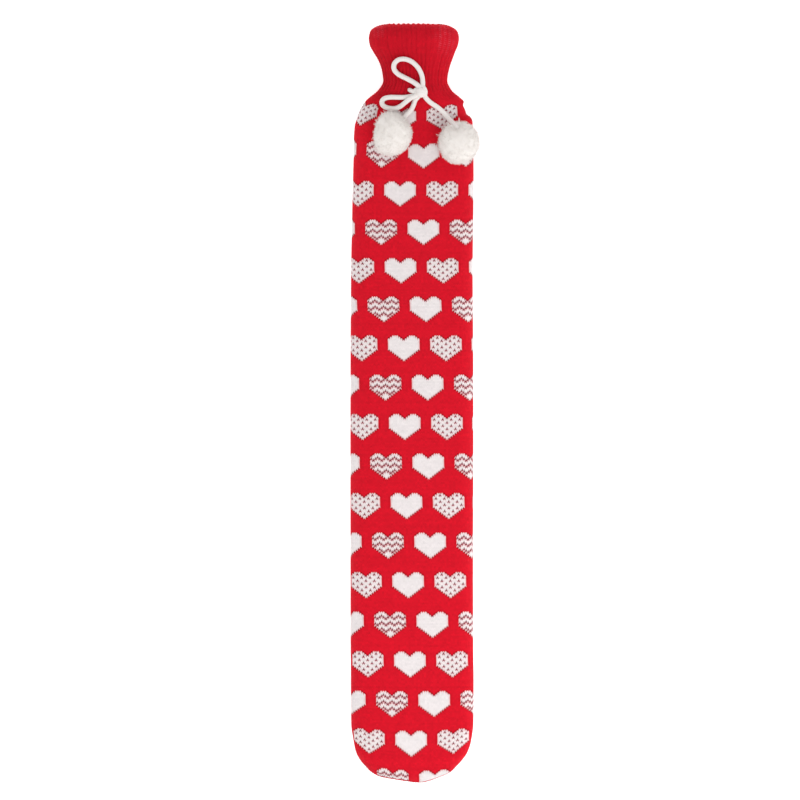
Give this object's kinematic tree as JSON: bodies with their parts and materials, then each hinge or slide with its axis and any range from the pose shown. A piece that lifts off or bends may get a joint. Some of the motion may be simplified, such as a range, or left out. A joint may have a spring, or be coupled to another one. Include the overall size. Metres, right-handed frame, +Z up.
{
  "type": "knitted hot water bottle cover",
  "caption": "Long knitted pouch with a ribbed, flared neck, open at the mouth, closed at a rounded end, tied at the neck with a bow of cord that ends in pompoms.",
  "frame": {"origin": "on the surface that the cover lies on, under the middle of the cover's box", "axes": "+X across the cover, +Y along it towards the open mouth, +Z up out of the front"},
  "size_m": [0.1262, 0.74, 0.057],
  "materials": {
    "knit": "red jacquard knit with off-white hearts",
    "cord": "soft round off-white cord",
    "pile": "fluffy off-white pile"
  },
  "bodies": {
    "root": {"cover_front": "knit", "cover_back": "knit", "tie_knot": "cord", "tie_stub": "cord", "tie_loop_upper": "cord", "tie_loop_lower": "cord", "tie_tail_left": "cord", "tie_tail_right": "cord", "pompom_left": "pile", "pompom_right": "pile"}
  },
  "joints": []
}
